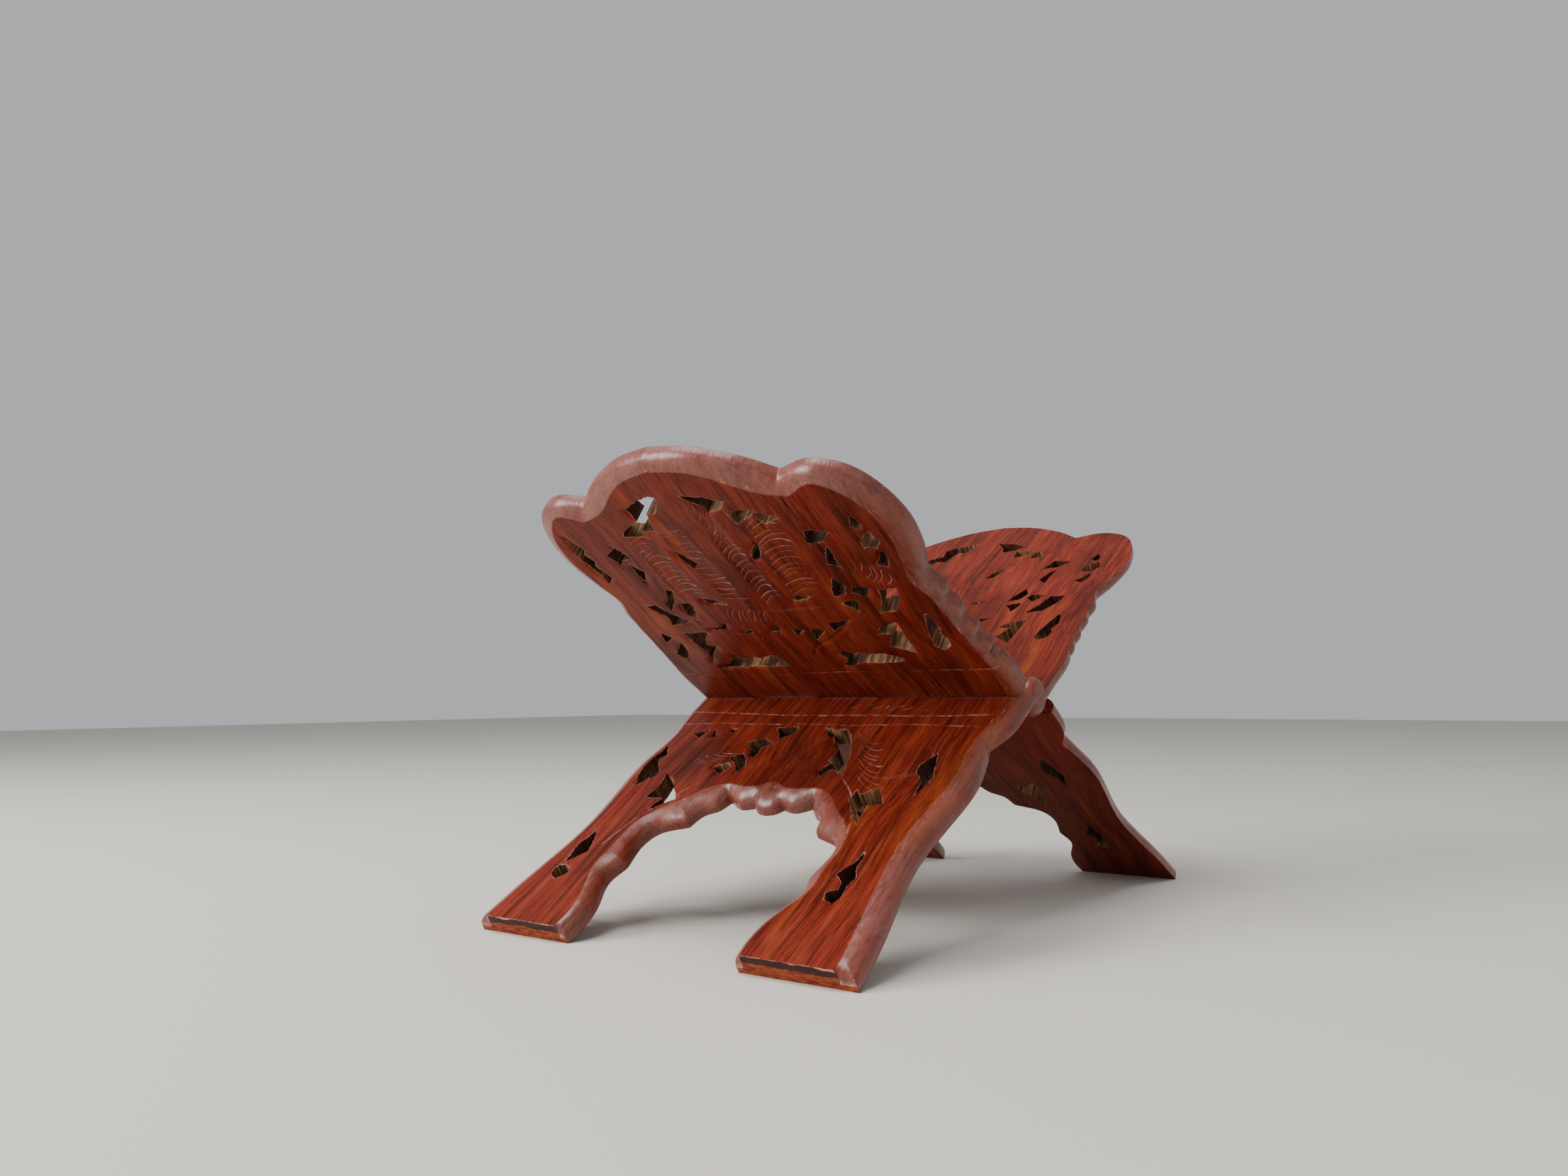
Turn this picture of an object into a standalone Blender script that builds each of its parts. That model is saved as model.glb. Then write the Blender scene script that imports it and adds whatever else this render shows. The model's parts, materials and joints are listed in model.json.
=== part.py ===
"""Folding book stand carved from one plank, open at its stop.

The plank is split through its thickness from both ends and the two halves swap sides at
the middle, where knuckles cut in the solid link them like a chain. Each leaf is one piece
of wood: a flap above the hinge, a leg below it and its own knuckles between them.

Along a leaf, s runs across the plank from its middle, d runs up the plank from the hinge
axis, and depth runs outwards from the saw cut. Outlines and openings are in millimetres on
a plank of the PATTERN sizes, and they stretch with the plank's own sizes.
World: X along the hinge, +Z up, ground at Z = 0 under the hinge axis.
"""
from math import cos, pi, radians, sin, sqrt, tan

import bmesh
import bpy
from mathutils import Matrix, Vector

MM = 0.001

# Driving sizes, in millimetres and degrees
HALF_WIDTH = 95.5          # half the plank's width at the hinge
FLAP_LENGTH = 189.0        # hinge axis to the top of the flap's arch
LEG_LENGTH = 186.0         # hinge axis to the end of a foot
LEAF_THICKNESS = 9.3       # hinge axis plane to a leaf's outer face: half the plank
SAW_CUT = 0.8              # gap that the saw leaves between the folded leaves
LEAF_SLOPE = 32.9          # each leaf above the ground when the stand is open
KNUCKLE_COUNT = 5          # the back leaf has the first, the last and each odd one
KNUCKLE_GAP = 0.6          # between neighbouring knuckles
STOP_GAP = 0.3             # between a cut end and the face that stops it
KNUCKLE_RELIEF = 0.1       # the round knuckle lies this far under the leaf's outer face
EDGE_ROUND = 6.0           # how deep the rounding of the outer edges goes
KNUCKLE_END_ROUND = 4.0    # chamfer at the ends of the outermost knuckles
KNUCKLE_FACETS = 32

# The plank that the outlines and openings below were drawn on
PATTERN_HALF_WIDTH = 95.5
PATTERN_FLAP = 189.0
PATTERN_LEG = 186.0

# Derived sizes
SLOPE = radians(LEAF_SLOPE)
INNER = SAW_CUT / 2
STOP = LEAF_THICKNESS / tan(SLOPE) + STOP_GAP / sin(2 * SLOPE)
AXIS_HEIGHT = LEG_LENGTH * sin(SLOPE) - INNER * cos(SLOPE)
ROUND_DEPTH = min(EDGE_ROUND, 0.7 * (LEAF_THICKNESS - INNER))
PITCH = 2 * HALF_WIDTH / KNUCKLE_COUNT

# Right half of each outline as smooth stretches that meet at carved corners. A row is
# (s, d at the saw cut's side, s, d where the rounding meets the outer face).
FLAP_EDGE = [
    [(95.5, 0, 89, 0), (95.5, 19, 89, 19), (96, 31, 89.5, 31), (95, 40, 89.5, 40), (92.2, 43.5, 89, 44)],
    [(92.2, 43.5, 89, 44), (94, 49, 88.5, 49), (91, 56, 88, 56.5)],
    [(91, 56, 88, 56.5), (92.7, 62, 87.5, 62), (90, 68.5, 87, 69)],
    [(90, 68.5, 87, 69), (91.7, 75.5, 86.5, 75.5), (89.3, 83.5, 86, 84)],
    [(89.3, 83.5, 86, 84), (91.2, 89.5, 85, 90), (88.2, 101, 82, 101), (93, 115, 84.5, 114),
     (95.6, 133, 87.5, 132), (92, 151, 85, 147), (83.5, 163.8, 78, 158.5), (69, 169.6, 69, 164),
     (54, 166.2, 57, 158.5)],
    [(54, 166.2, 57, 158.5), (40, 176.5, 42, 163.5), (20, 185.5, 20.5, 178), (0, 189, 0, 183)],
]
LEG_EDGE = [
    [(95.5, 0, 89, 0), (95.5, 15, 89, 15), (94.6, 31, 88, 31), (89, 44, 86, 44)],
    [(89, 44, 86, 44), (92.5, 56, 85.5, 56), (95, 77, 87.5, 77), (91, 121, 83.5, 121),
     (97, 163, 89, 163), (99.5, 186, 92, 186)],
    [(99.5, 186, 92, 186), (45.5, 186, 49.5, 186)],
    [(45.5, 186, 49.5, 186), (44.6, 176, 49.5, 176), (46.5, 165, 52, 165), (52.6, 150, 59.5, 148),
     (50.4, 138.5, 59, 138)],
    [(50.4, 138.5, 59, 138), (53, 124, 59.5, 123), (49, 114, 56, 111), (36, 108.5, 42.5, 98)],
    [(36, 108.5, 42.5, 98), (33.5, 100.2, 36, 90.5), (27, 95.5, 29.5, 86.8), (24, 89.4, 24.5, 85.5)],
    [(24, 89.4, 24.5, 85.5), (15.5, 93.7, 15, 86.6), (8, 92.2, 8, 86.5)],
    [(8, 92.2, 8, 86.5), (4.8, 95.4, 4, 84), (0, 96.6, 0, 82)],
]

# Openings sawn through the flap, as (s, d)
FLAP_OPENINGS = [
    # the toothed leaf edges under the arch
    [(-28.6, 163), (-22.9, 165.7), (-11.4, 168.6), (-7.7, 168.1), (-10, 163.5), (-14.6, 158.3),
     (-18.6, 159.2), (-20.3, 155.7), (-22.9, 148.3), (-29.3, 149.2), (-32.1, 144), (-42.9, 146.9),
     (-39.5, 150), (-27.5, 155.5)],
    [(5.4, 166.7), (15.7, 165), (24.9, 160.3), (20.6, 156.4), (12.5, 154.8), (11.4, 159.6)],
    [(21.5, 155), (36, 153.4), (31.8, 150.2), (22.9, 146.4)],
    [(33.2, 149.4), (37, 152.2), (43.6, 147.2), (35, 143.6)],
    # slots along the two side lobes
    [(-78.3, 151), (-76.6, 145), (-73.9, 140), (-76, 137), (-73.1, 132), (-77, 127.5),
     (-75.5, 123), (-73.6, 118.5), (-77.5, 115.5), (-80, 127), (-80.7, 138)],
    [(76, 143.3), (73, 137.5), (76.5, 135), (78, 138)],
    [(79.3, 133.6), (72.5, 129), (72, 123.8), (77.1, 122.9), (81.8, 127)],
    [(78.8, 121.3), (72.2, 112.6), (77.1, 110.8), (79.3, 118)],
    # a square and its tail on each side
    [(-63, 135.3), (-55, 139.4), (-50.5, 131.8), (-56, 131), (-60, 127.5), (-61, 131)],
    [(-54.3, 127.9), (-50.7, 121), (-55, 113.9), (-55.6, 121)],
    [(51.1, 138.6), (62.1, 136.4), (58.5, 133), (55.5, 130.4), (47.9, 129.8)],
    [(56.9, 128.2), (53.5, 124), (50.2, 116.6), (54.9, 112.6), (55.2, 119)],
    # slits in the middle of the leaf
    [(-23.6, 132.9), (-18.6, 126), (-16.6, 122.8), (-20, 120.9), (-22.6, 127)],
    [(22.9, 132.9), (17.5, 128.5), (15, 122.4), (19.3, 123), (22, 128)],
    [(-32.1, 97.3), (-20.3, 95.7), (-20, 93.3), (-30.7, 94.3)],
    [(17.1, 92.3), (21.4, 95.9), (29.3, 95.7), (22.9, 92.7)],
    # the stalk's side leaves
    [(-47.9, 107.9), (-44, 106.1), (-50, 97.6), (-55.7, 91.4), (-57, 95.5), (-51.4, 100.5)],
    [(-69.3, 95.7), (-63, 96.6), (-60.2, 92), (-57, 86.4), (-52.1, 81.4), (-64, 79.8), (-62, 86)],
    [(-48.6, 95), (-41.6, 95.7), (-43.5, 89), (-45.7, 82.9), (-48.9, 88)],
    [(46.9, 107.1), (49.7, 101), (46.8, 95.4), (40.3, 94), (42, 99)],
    [(52.5, 100), (60.7, 98.6), (55.7, 92.3), (51, 96.4)],
    [(41, 89.2), (49.2, 91.6), (50, 88.5), (46.4, 81.6), (45, 86)],
    [(64.3, 97.1), (72.6, 97), (71.4, 90.7), (65.5, 82.1), (56, 80.3), (61.6, 88.5)],
    # the zigzag row under the leaf
    [(-43.5, 74.4), (-32.5, 77.8), (-33.5, 73.8)],
    [(-25, 71.2), (-19.5, 73.8), (-19.8, 70.6)],
    [(-11.5, 71), (-3.6, 74), (-4.2, 69.8)],
    [(2.9, 73), (10, 70.6), (4, 66.9)],
    [(12.6, 62.8), (12.4, 69), (14.2, 70.9), (20.7, 70)],
    [(25.7, 75.8), (38.2, 76.4), (33, 73), (26, 69.6)],
    # commas and toothed triangles at the sides
    [(-76.4, 75.3), (-72.9, 69), (-79.6, 65.2)],
    [(-71.1, 63.6), (-71, 57), (-75, 50.6), (-78.3, 52.5), (-79.3, 56), (-75.7, 60)],
    [(76.9, 78.6), (73.6, 68), (71.6, 60), (70.3, 55), (74.3, 52.1), (78.2, 54.5), (79.2, 59.3),
     (77.4, 62.5), (79.6, 68.5)],
    [(-62.9, 72.9), (-48, 71), (-53, 66.5), (-55, 62.5), (-50.8, 59.6), (-56.4, 54), (-61.4, 47.6),
     (-59.3, 57)],
    [(47.2, 65.8), (50, 70), (60, 72.9), (59.4, 61), (58.6, 50.2), (48.8, 56.6), (54.3, 65.2)],
    # the long pair above the scribed line
    [(-60.7, 41.4), (-16.4, 43), (-19, 52.4), (-26, 51), (-28, 49.5), (-34.5, 51.5), (-37, 49),
     (-45, 51.8), (-50, 46.5)],
    [(15, 40.8), (20.5, 47), (17, 50.8), (22.1, 52.8), (41, 50.2), (50, 46.2), (49, 43.6),
     (24.3, 43.4), (19.3, 40.7)],
]

# Openings sawn through the leg, as (s, distance below the axis)
LEG_OPENINGS = [
    # side slots
    [(-84, 57), (-79, 66), (-81.5, 70), (-73.5, 79), (-75, 86), (-77.5, 83), (-80, 92), (-84, 85), (-87, 75)],
    [(72, 57), (75.5, 66), (77.5, 75), (74.5, 88.5), (74, 78), (68.5, 71), (68, 67)],
    # under the leaf lobes
    [(-67, 80.5), (-60, 85), (-55, 90.5), (-48.5, 98.5), (-52.5, 102), (-58.5, 108), (-57.5, 103),
     (-55.6, 99.3), (-66.5, 99.5), (-65, 90)],
    [(46, 85), (49, 89), (57, 83.5), (62.5, 93), (56, 95.5), (58, 108), (52, 100.5), (45.6, 92)],
    # the chain between the lobes, left in four and right in one
    [(-25, 41), (-12.5, 39.6), (-12.5, 46), (-19, 50), (-21, 46)],
    [(-35.5, 53.5), (-27, 49.5), (-19.5, 54), (-24.5, 57), (-25, 64), (-29, 63), (-30, 58)],
    [(-38, 66), (-33, 61.5), (-28.5, 65.4), (-24.5, 72), (-28, 76.5), (-31, 71)],
    [(-43, 73.5), (-36, 70), (-32, 72.5), (-36.5, 78.5), (-40, 76)],
    [(3, 39.8), (9, 41), (15, 40), (20, 45), (25.5, 54), (29, 62), (33, 76), (25.5, 72), (20, 76),
     (18, 73), (23, 67.5), (19, 65), (20, 56), (15, 52.5), (12, 46.5), (8, 46)],
    # small cuts under the second scribed line
    [(-75, 47.5), (-66.5, 43), (-69, 50)],
    [(-63, 43), (-60, 47.8), (-63.5, 48.5)],
    [(-54.5, 40.8), (-50, 41.8), (-52, 45)],
    # teardrops and commas down the feet
    [(-78.5, 124), (-73, 131), (-71, 139.5), (-76, 144), (-79.5, 147), (-79.5, 135)],
    [(-80, 149.5), (-76, 148.6), (-70, 152.5), (-70, 156), (-74, 158.5), (-78.5, 157), (-80, 153)],
    [(71, 124), (72.5, 134), (74.5, 138), (73, 143), (74.5, 150), (72, 153.5), (67.5, 152),
     (66.5, 148.5), (71, 146), (70, 142), (65.5, 138), (69, 132)],
]

STEPS_PER_STRETCH_POINT = 3
FLAP_STRETCH = Vector((HALF_WIDTH / PATTERN_HALF_WIDTH, FLAP_LENGTH / PATTERN_FLAP))
LEG_STRETCH = Vector((HALF_WIDTH / PATTERN_HALF_WIDTH, LEG_LENGTH / PATTERN_LEG))


def clear_scene():
    """Remove every object that the file opened with."""
    for old in list(bpy.data.objects):
        bpy.data.objects.remove(old, do_unlink=True)


def wood(name, colour, roughness):
    """One plain stained-wood material."""
    material = bpy.data.materials.new(name)
    material.use_nodes = True
    shader = material.node_tree.nodes["Principled BSDF"]
    shader.inputs["Base Color"].default_value = (*colour, 1.0)
    shader.inputs["Roughness"].default_value = roughness
    shader.inputs["Metallic"].default_value = 0.0
    return material


def smooth_through(points, steps):
    """Points along a Catmull-Rom curve through the given points, without the last one."""
    rows = [Vector(point) for point in points]
    if len(rows) == 2:
        return rows[:1]
    padded = [2 * rows[0] - rows[1], *rows, 2 * rows[-1] - rows[-2]]
    curve = []
    for before, here, there, after in zip(padded, padded[1:], padded[2:], padded[3:]):
        for step in range(steps):
            t = step / steps
            bend = (2 * before - 5 * here + 4 * there - after) * t * t
            twist = (3 * here - before - 3 * there + after) * t ** 3
            curve.append(0.5 * (2 * here + (there - before) * t + bend + twist))
    return curve


def whole_outline(stretches, stretch):
    """Both halves of an outline as (s, d, s, d) rows, from the right of the hinge round to its left."""
    right = []
    for points in stretches:
        right += smooth_through(points, STEPS_PER_STRETCH_POINT)
    middle = Vector(stretches[-1][-1])
    scale = (stretch.x, stretch.y, stretch.x, stretch.y)
    rows = [[value * k for value, k in zip(row, scale)] for row in right]
    left = [[-row[0], row[1], -row[2], row[3]] for row in reversed(rows)]
    return rows + [[value * k for value, k in zip(middle, scale)]] + left


def new_object(name, mesh_builder, material=None):
    """An object whose mesh is what the builder writes into an empty bmesh, faces outwards."""
    bm = bmesh.new()
    mesh_builder(bm)
    bmesh.ops.recalc_face_normals(bm, faces=bm.faces)
    mesh = bpy.data.meshes.new(name)
    bm.to_mesh(mesh)
    bm.free()
    obj = bpy.data.objects.new(name, mesh)
    bpy.context.scene.collection.objects.link(obj)
    if material:
        mesh.materials.append(material)
    return obj


def close_loops(bm, loops):
    """Join equal loops of vertices in order by walls, and cap the first and the last."""
    count = len(loops[0])
    for lower, upper in zip(loops, loops[1:]):
        for i in range(count):
            j = (i + 1) % count
            bm.faces.new((lower[i], lower[j], upper[j], upper[i]))
    bm.faces.new(loops[0])
    bm.faces.new(loops[-1])


def board(bm, outline, up, out):
    """One half-thickness board from its outline, its outer edges rounded in three steps.

    up is 1 for the flap and -1 for the leg; out is the side that its outer face looks to.
    """
    corner = pi / 2
    levels = [(INNER, 0.0)]
    for turn in (0.0, 0.45, 0.8, 1.0):
        depth = LEAF_THICKNESS - ROUND_DEPTH * (1 - sin(turn * corner))
        levels.append((depth, 1 - cos(turn * corner)))
    loops = []
    for depth, inset in levels:
        loop = []
        for s, d, face_s, face_d in outline:
            across = s + (face_s - s) * inset
            along = d + (face_d - d) * inset
            loop.append(bm.verts.new(Vector((across, up * along, out * depth)) * MM))
        loops.append(loop)
    close_loops(bm, loops)


def prism(bm, points, low, high):
    """A straight prism through the board over an (s, d) polygon."""
    loops = []
    for level in (low, high):
        loops.append([bm.verts.new(Vector((s, d, level)) * MM) for s, d in points])
    close_loops(bm, loops)


def knuckle_span(index):
    """Where one knuckle starts and ends along the hinge."""
    left = -HALF_WIDTH + index * PITCH
    start = left if index == 0 else left + KNUCKLE_GAP / 2
    end = left + PITCH if index == KNUCKLE_COUNT - 1 else left + PITCH - KNUCKLE_GAP / 2
    return start, end


def knuckle(bm, index):
    """A round knuckle about the hinge axis, chamfered where it is the plank's own end."""
    start, end = knuckle_span(index)
    radius = LEAF_THICKNESS - KNUCKLE_RELIEF
    chamfer = min(KNUCKLE_END_ROUND, radius / 2)
    rings = [(start, radius), (end, radius)]
    if index == 0:
        rings = [(start, radius - chamfer), (start + chamfer, radius), (end, radius)]
    if index == KNUCKLE_COUNT - 1:
        rings = rings[:-1] + [(end - chamfer, radius), (end, radius - chamfer)]
    loops = []
    for s, r in rings:
        loop = []
        for i in range(KNUCKLE_FACETS):
            turn = 2 * pi * (i + 0.5) / KNUCKLE_FACETS
            loop.append(bm.verts.new(Vector((s, r * cos(turn), r * sin(turn))) * MM))
        loops.append(loop)
    close_loops(bm, loops)


def window(bm, index):
    """The gap that one leaf leaves for the other leaf's knuckle, from cut end to cut end."""
    left = -HALF_WIDTH + index * PITCH - KNUCKLE_GAP / 2
    right = left + PITCH + KNUCKLE_GAP
    if index == 0:
        left -= HALF_WIDTH
    if index == KNUCKLE_COUNT - 1:
        right += HALF_WIDTH
    reach = 2 * LEAF_THICKNESS
    prism(bm, [(left, -STOP), (right, -STOP), (right, STOP), (left, STOP)], -reach, reach)


def boolean(target, operation, tool):
    """Join or cut the target by a hidden tool that shares its place."""
    tool.hide_render = True
    tool.display_type = 'WIRE'
    tool.parent = target.parent
    tool.rotation_euler = target.rotation_euler
    modifier = target.modifiers.new(tool.name, 'BOOLEAN')
    modifier.operation = operation
    modifier.solver = 'EXACT'
    modifier.object = tool


def leaf(name, axis, slope, out, own_knuckles, material):
    """One leaf: flap board, leg board and knuckles joined, then the windows and openings cut.

    out is the side of the saw cut that the flap lies on; the leg lies on the other.
    """
    flap_outline = whole_outline(FLAP_EDGE, FLAP_STRETCH)
    leg_outline = whole_outline(LEG_EDGE, LEG_STRETCH)
    body = new_object(name, lambda bm: board(bm, flap_outline, 1, out), material)
    body.parent = axis
    body.rotation_euler.x = slope
    leg = new_object(name + "_leg_tool", lambda bm: board(bm, leg_outline, -1, -out))
    others = [i for i in range(KNUCKLE_COUNT) if i not in own_knuckles]

    def knuckles(bm):
        for index in own_knuckles:
            knuckle(bm, index)

    def cuts(bm):
        reach = 1.5 * LEAF_THICKNESS
        for index in others:
            window(bm, index)
        for points in FLAP_OPENINGS:
            prism(bm, [(s * FLAP_STRETCH.x, d * FLAP_STRETCH.y) for s, d in points], -reach, reach)
        for points in LEG_OPENINGS:
            prism(bm, [(s * LEG_STRETCH.x, -d * LEG_STRETCH.y) for s, d in points], -reach, reach)

    boolean(body, 'UNION', new_object(name + "_knuckle_tool", knuckles))
    boolean(body, 'UNION', leg)
    boolean(body, 'DIFFERENCE', new_object(name + "_cut_tool", cuts))
    return body


def main():
    clear_scene()
    axis = bpy.data.objects.new("hinge_axis", None)
    axis.location = (0, 0, AXIS_HEIGHT * MM)
    bpy.context.scene.collection.objects.link(axis)
    even = list(range(0, KNUCKLE_COUNT, 2))
    odd = list(range(1, KNUCKLE_COUNT, 2))
    front_wood = wood("front_leaf_wood", (0.17, 0.030, 0.016), 0.42)
    back_wood = wood("back_leaf_wood", (0.22, 0.050, 0.027), 0.42)
    leaf("front_flap_leaf", axis, pi - SLOPE, 1, odd, front_wood)
    leaf("back_flap_leaf", axis, SLOPE, -1, even, back_wood)


main()
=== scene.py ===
"""Folding carved book stand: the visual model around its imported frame.

Every board is worked out on the plank's own coordinates, in millimetres: s runs across the
plank from its middle, d up the plank from the hinge axis, and depth outwards from the saw cut.
"""
import json
from math import cos, pi, radians, sin, sqrt, tan

import bpy
import numpy as np
from mathutils import Euler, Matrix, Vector
from mathutils.geometry import delaunay_2d_cdt


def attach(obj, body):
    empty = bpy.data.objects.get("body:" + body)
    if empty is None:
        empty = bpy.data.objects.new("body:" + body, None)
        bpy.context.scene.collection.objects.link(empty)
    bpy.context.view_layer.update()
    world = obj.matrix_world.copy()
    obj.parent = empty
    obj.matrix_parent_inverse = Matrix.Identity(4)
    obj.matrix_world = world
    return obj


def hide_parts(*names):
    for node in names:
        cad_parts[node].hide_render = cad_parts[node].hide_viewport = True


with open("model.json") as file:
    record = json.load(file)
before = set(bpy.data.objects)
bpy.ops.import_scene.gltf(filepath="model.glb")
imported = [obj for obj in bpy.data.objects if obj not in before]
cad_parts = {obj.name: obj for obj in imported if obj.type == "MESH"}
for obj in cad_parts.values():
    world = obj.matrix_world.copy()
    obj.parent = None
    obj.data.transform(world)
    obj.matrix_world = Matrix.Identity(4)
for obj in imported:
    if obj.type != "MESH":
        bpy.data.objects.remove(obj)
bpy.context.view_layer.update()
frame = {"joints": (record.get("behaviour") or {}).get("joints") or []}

bl_info = {
    "name": "Carved Book Stand",
    "version": (1, 0, 0),
    "blender": (4, 5, 0),
    "location": "View3D > Sidebar > Book Stand",
    "description": "Builds the carved wooden surfaces of a folding book stand",
    "category": "Add Mesh",
}

MM = 0.001
HINGE = frame["joints"][0]
AXIS_HEIGHT = HINGE["pos_m"][2] / MM
SAW_CUT = 0.8
SLOPE = radians(HINGE["range_deg"][1] / -2 + 90)
HALF_WIDTH = 95.5
BOARD = 9.3
STOP_CLEARANCE = 0.33
STOP = BOARD / tan(SLOPE) + STOP_CLEARANCE
KNUCKLE_COUNT = 5
KNUCKLE_GAP = 0.6
KNUCKLE_SIDES = 96
KNUCKLE_EDGE_BREAK = 0.3
FOOT_END = 186
# How far the fret saw wandered, and the depth and reach of the chips cut beside its openings
SAW_WANDER = 0.28
CHIP_DEPTH = 1.1
CHIP_REACH = 1.3
# Where on its quarter ellipse the edge rounding starts, which leaves a crease beside the face
EDGE_CREASE = 0.36


def linear(code):
    """Linear colour of an sRGB hex code."""
    channels = [int(code[i:i + 2], 16) / 255 for i in (1, 3, 5)]
    return tuple(c / 12.92 if c <= 0.04045 else ((c + 0.055) / 1.055) ** 2.4 for c in channels)


def colour(name, description, code):
    """A colour property whose default is an sRGB hex code."""
    return bpy.props.FloatVectorProperty(
        name=name, description=description, subtype='COLOR', size=3, min=0, max=1, default=linear(code))


def length(name, description, default, low, high):
    """A length property in millimetres."""
    return bpy.props.FloatProperty(name=name, description=description, default=default, min=low, max=high)


class BookStandSizes(bpy.types.PropertyGroup):
    """Sizes of the carving, in millimetres."""
    grid: length("Surface step", "Spacing of the carved surface's points", 0.62, 0.4, 4.0)
    edge_depth: length("Edge rounding", "How far down the outer edges are rounded", 6.2, 1.0, 8.0)
    stroke_depth: length("Stroke depth", "Depth of the carved vein strokes", 0.2, 0.0, 2.0)
    stroke_width: length("Stroke width", "Width of a carved vein stroke", 1.05, 0.3, 3.0)
    hollow_depth: length("Hollow depth", "Depth of the broad hollows between the veins", 0.4, 0.0, 1.5)
    sawn_wave: length("Sawn wave", "Height of the planed surface's soft waves", 0.12, 0.0, 0.5)
    knuckle_relief: length("Knuckle relief", "How far the knuckles lie under the outer face", 0.1, 0.0, 0.5)
    knuckle_round: length("Knuckle end rounding", "Rounding of the outermost knuckle ends", 4.0, 0.5, 4.5)


class BookStandColours(bpy.types.PropertyGroup):
    """Colours of the stained and the bare wood."""
    stain_dark: colour("Dark stain", "Darkest grain of the stained wood", "#2E0A05")
    stain_mid: colour("Stain", "Body colour of the stained wood", "#661B0F")
    stain_light: colour("Light stain", "Lightest grain of the stained wood", "#8F3C26")
    heart: colour("Amber streak", "Orange-brown streaks along the grain", "#94451C")
    # worn edge colour: partly wear and partly a painted sheen, a pale mauve standing in for the reflection on
    # the glossy rounded edges
    wear_and_sheen: colour("Worn edge", "Handled edges where the stain has gone chalky", "#7A4640")
    scratch: colour("Scratch", "Fresh scratches and carved lines", "#C99A8A")
    burnt: colour("Burnt end", "Scorched end grain of the feet", "#1E0A08")
    bare: colour("Bare wood", "Unstained wood inside the sawn openings", "#96704C")
    bare_dark: colour("Stained cut", "Stain run into the sawn openings", "#4A2616")
    floor: colour("Floor", "Plain studio floor", "#C8C3B9")


# Right half of each outline as smooth stretches that meet at carved corners. A row is
# (s, d at the saw cut's side, s, d where the rounding meets the outer face).
FLAP_EDGE = [
    [(95.5, 0, 89, 0), (95.5, 19, 89, 19), (96, 31, 89.5, 31), (95, 40, 89.5, 40), (92.2, 43.5, 89, 44)],
    [(92.2, 43.5, 89, 44), (94, 49, 88.5, 49), (91, 56, 88, 56.5)],
    [(91, 56, 88, 56.5), (92.7, 62, 87.5, 62), (90, 68.5, 87, 69)],
    [(90, 68.5, 87, 69), (91.7, 75.5, 86.5, 75.5), (89.3, 83.5, 86, 84)],
    [(89.3, 83.5, 86, 84), (91.2, 89.5, 85, 90), (88.2, 101, 82, 101), (93, 115, 84.5, 114),
     (95.6, 133, 87.5, 132), (92, 151, 85, 147), (83.5, 163.8, 78, 158.5), (69, 169.6, 69, 164),
     (54, 166.2, 57, 158.5)],
    [(54, 166.2, 57, 158.5), (40, 176.5, 42, 163.5), (20, 185.5, 20.5, 178), (0, 189, 0, 183)],
]
LEG_EDGE = [
    [(95.5, 0, 89, 0), (95.5, 15, 89, 15), (94.6, 31, 88, 31), (89, 44, 86, 44)],
    [(89, 44, 86, 44), (92.5, 56, 85.5, 56), (95, 77, 87.5, 77), (91, 121, 83.5, 121),
     (97, 163, 89, 163), (99.5, 186, 92, 186)],
    [(99.5, 186, 92, 186), (45.5, 186, 49.5, 186)],
    [(45.5, 186, 49.5, 186), (44.6, 176, 49.5, 176), (46.5, 165, 52, 165), (52.6, 150, 59.5, 148),
     (50.4, 138.5, 59, 138)],
    [(50.4, 138.5, 59, 138), (53, 124, 59.5, 123), (49, 114, 56, 111), (36, 108.5, 42.5, 98)],
    [(36, 108.5, 42.5, 98), (33.5, 100.2, 36, 90.5), (27, 95.5, 29.5, 86.8), (24, 89.4, 24.5, 85.5)],
    [(24, 89.4, 24.5, 85.5), (15.5, 93.7, 15, 86.6), (8, 92.2, 8, 86.5)],
    [(8, 92.2, 8, 86.5), (4.8, 95.4, 4, 84), (0, 96.6, 0, 82)],
]

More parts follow.
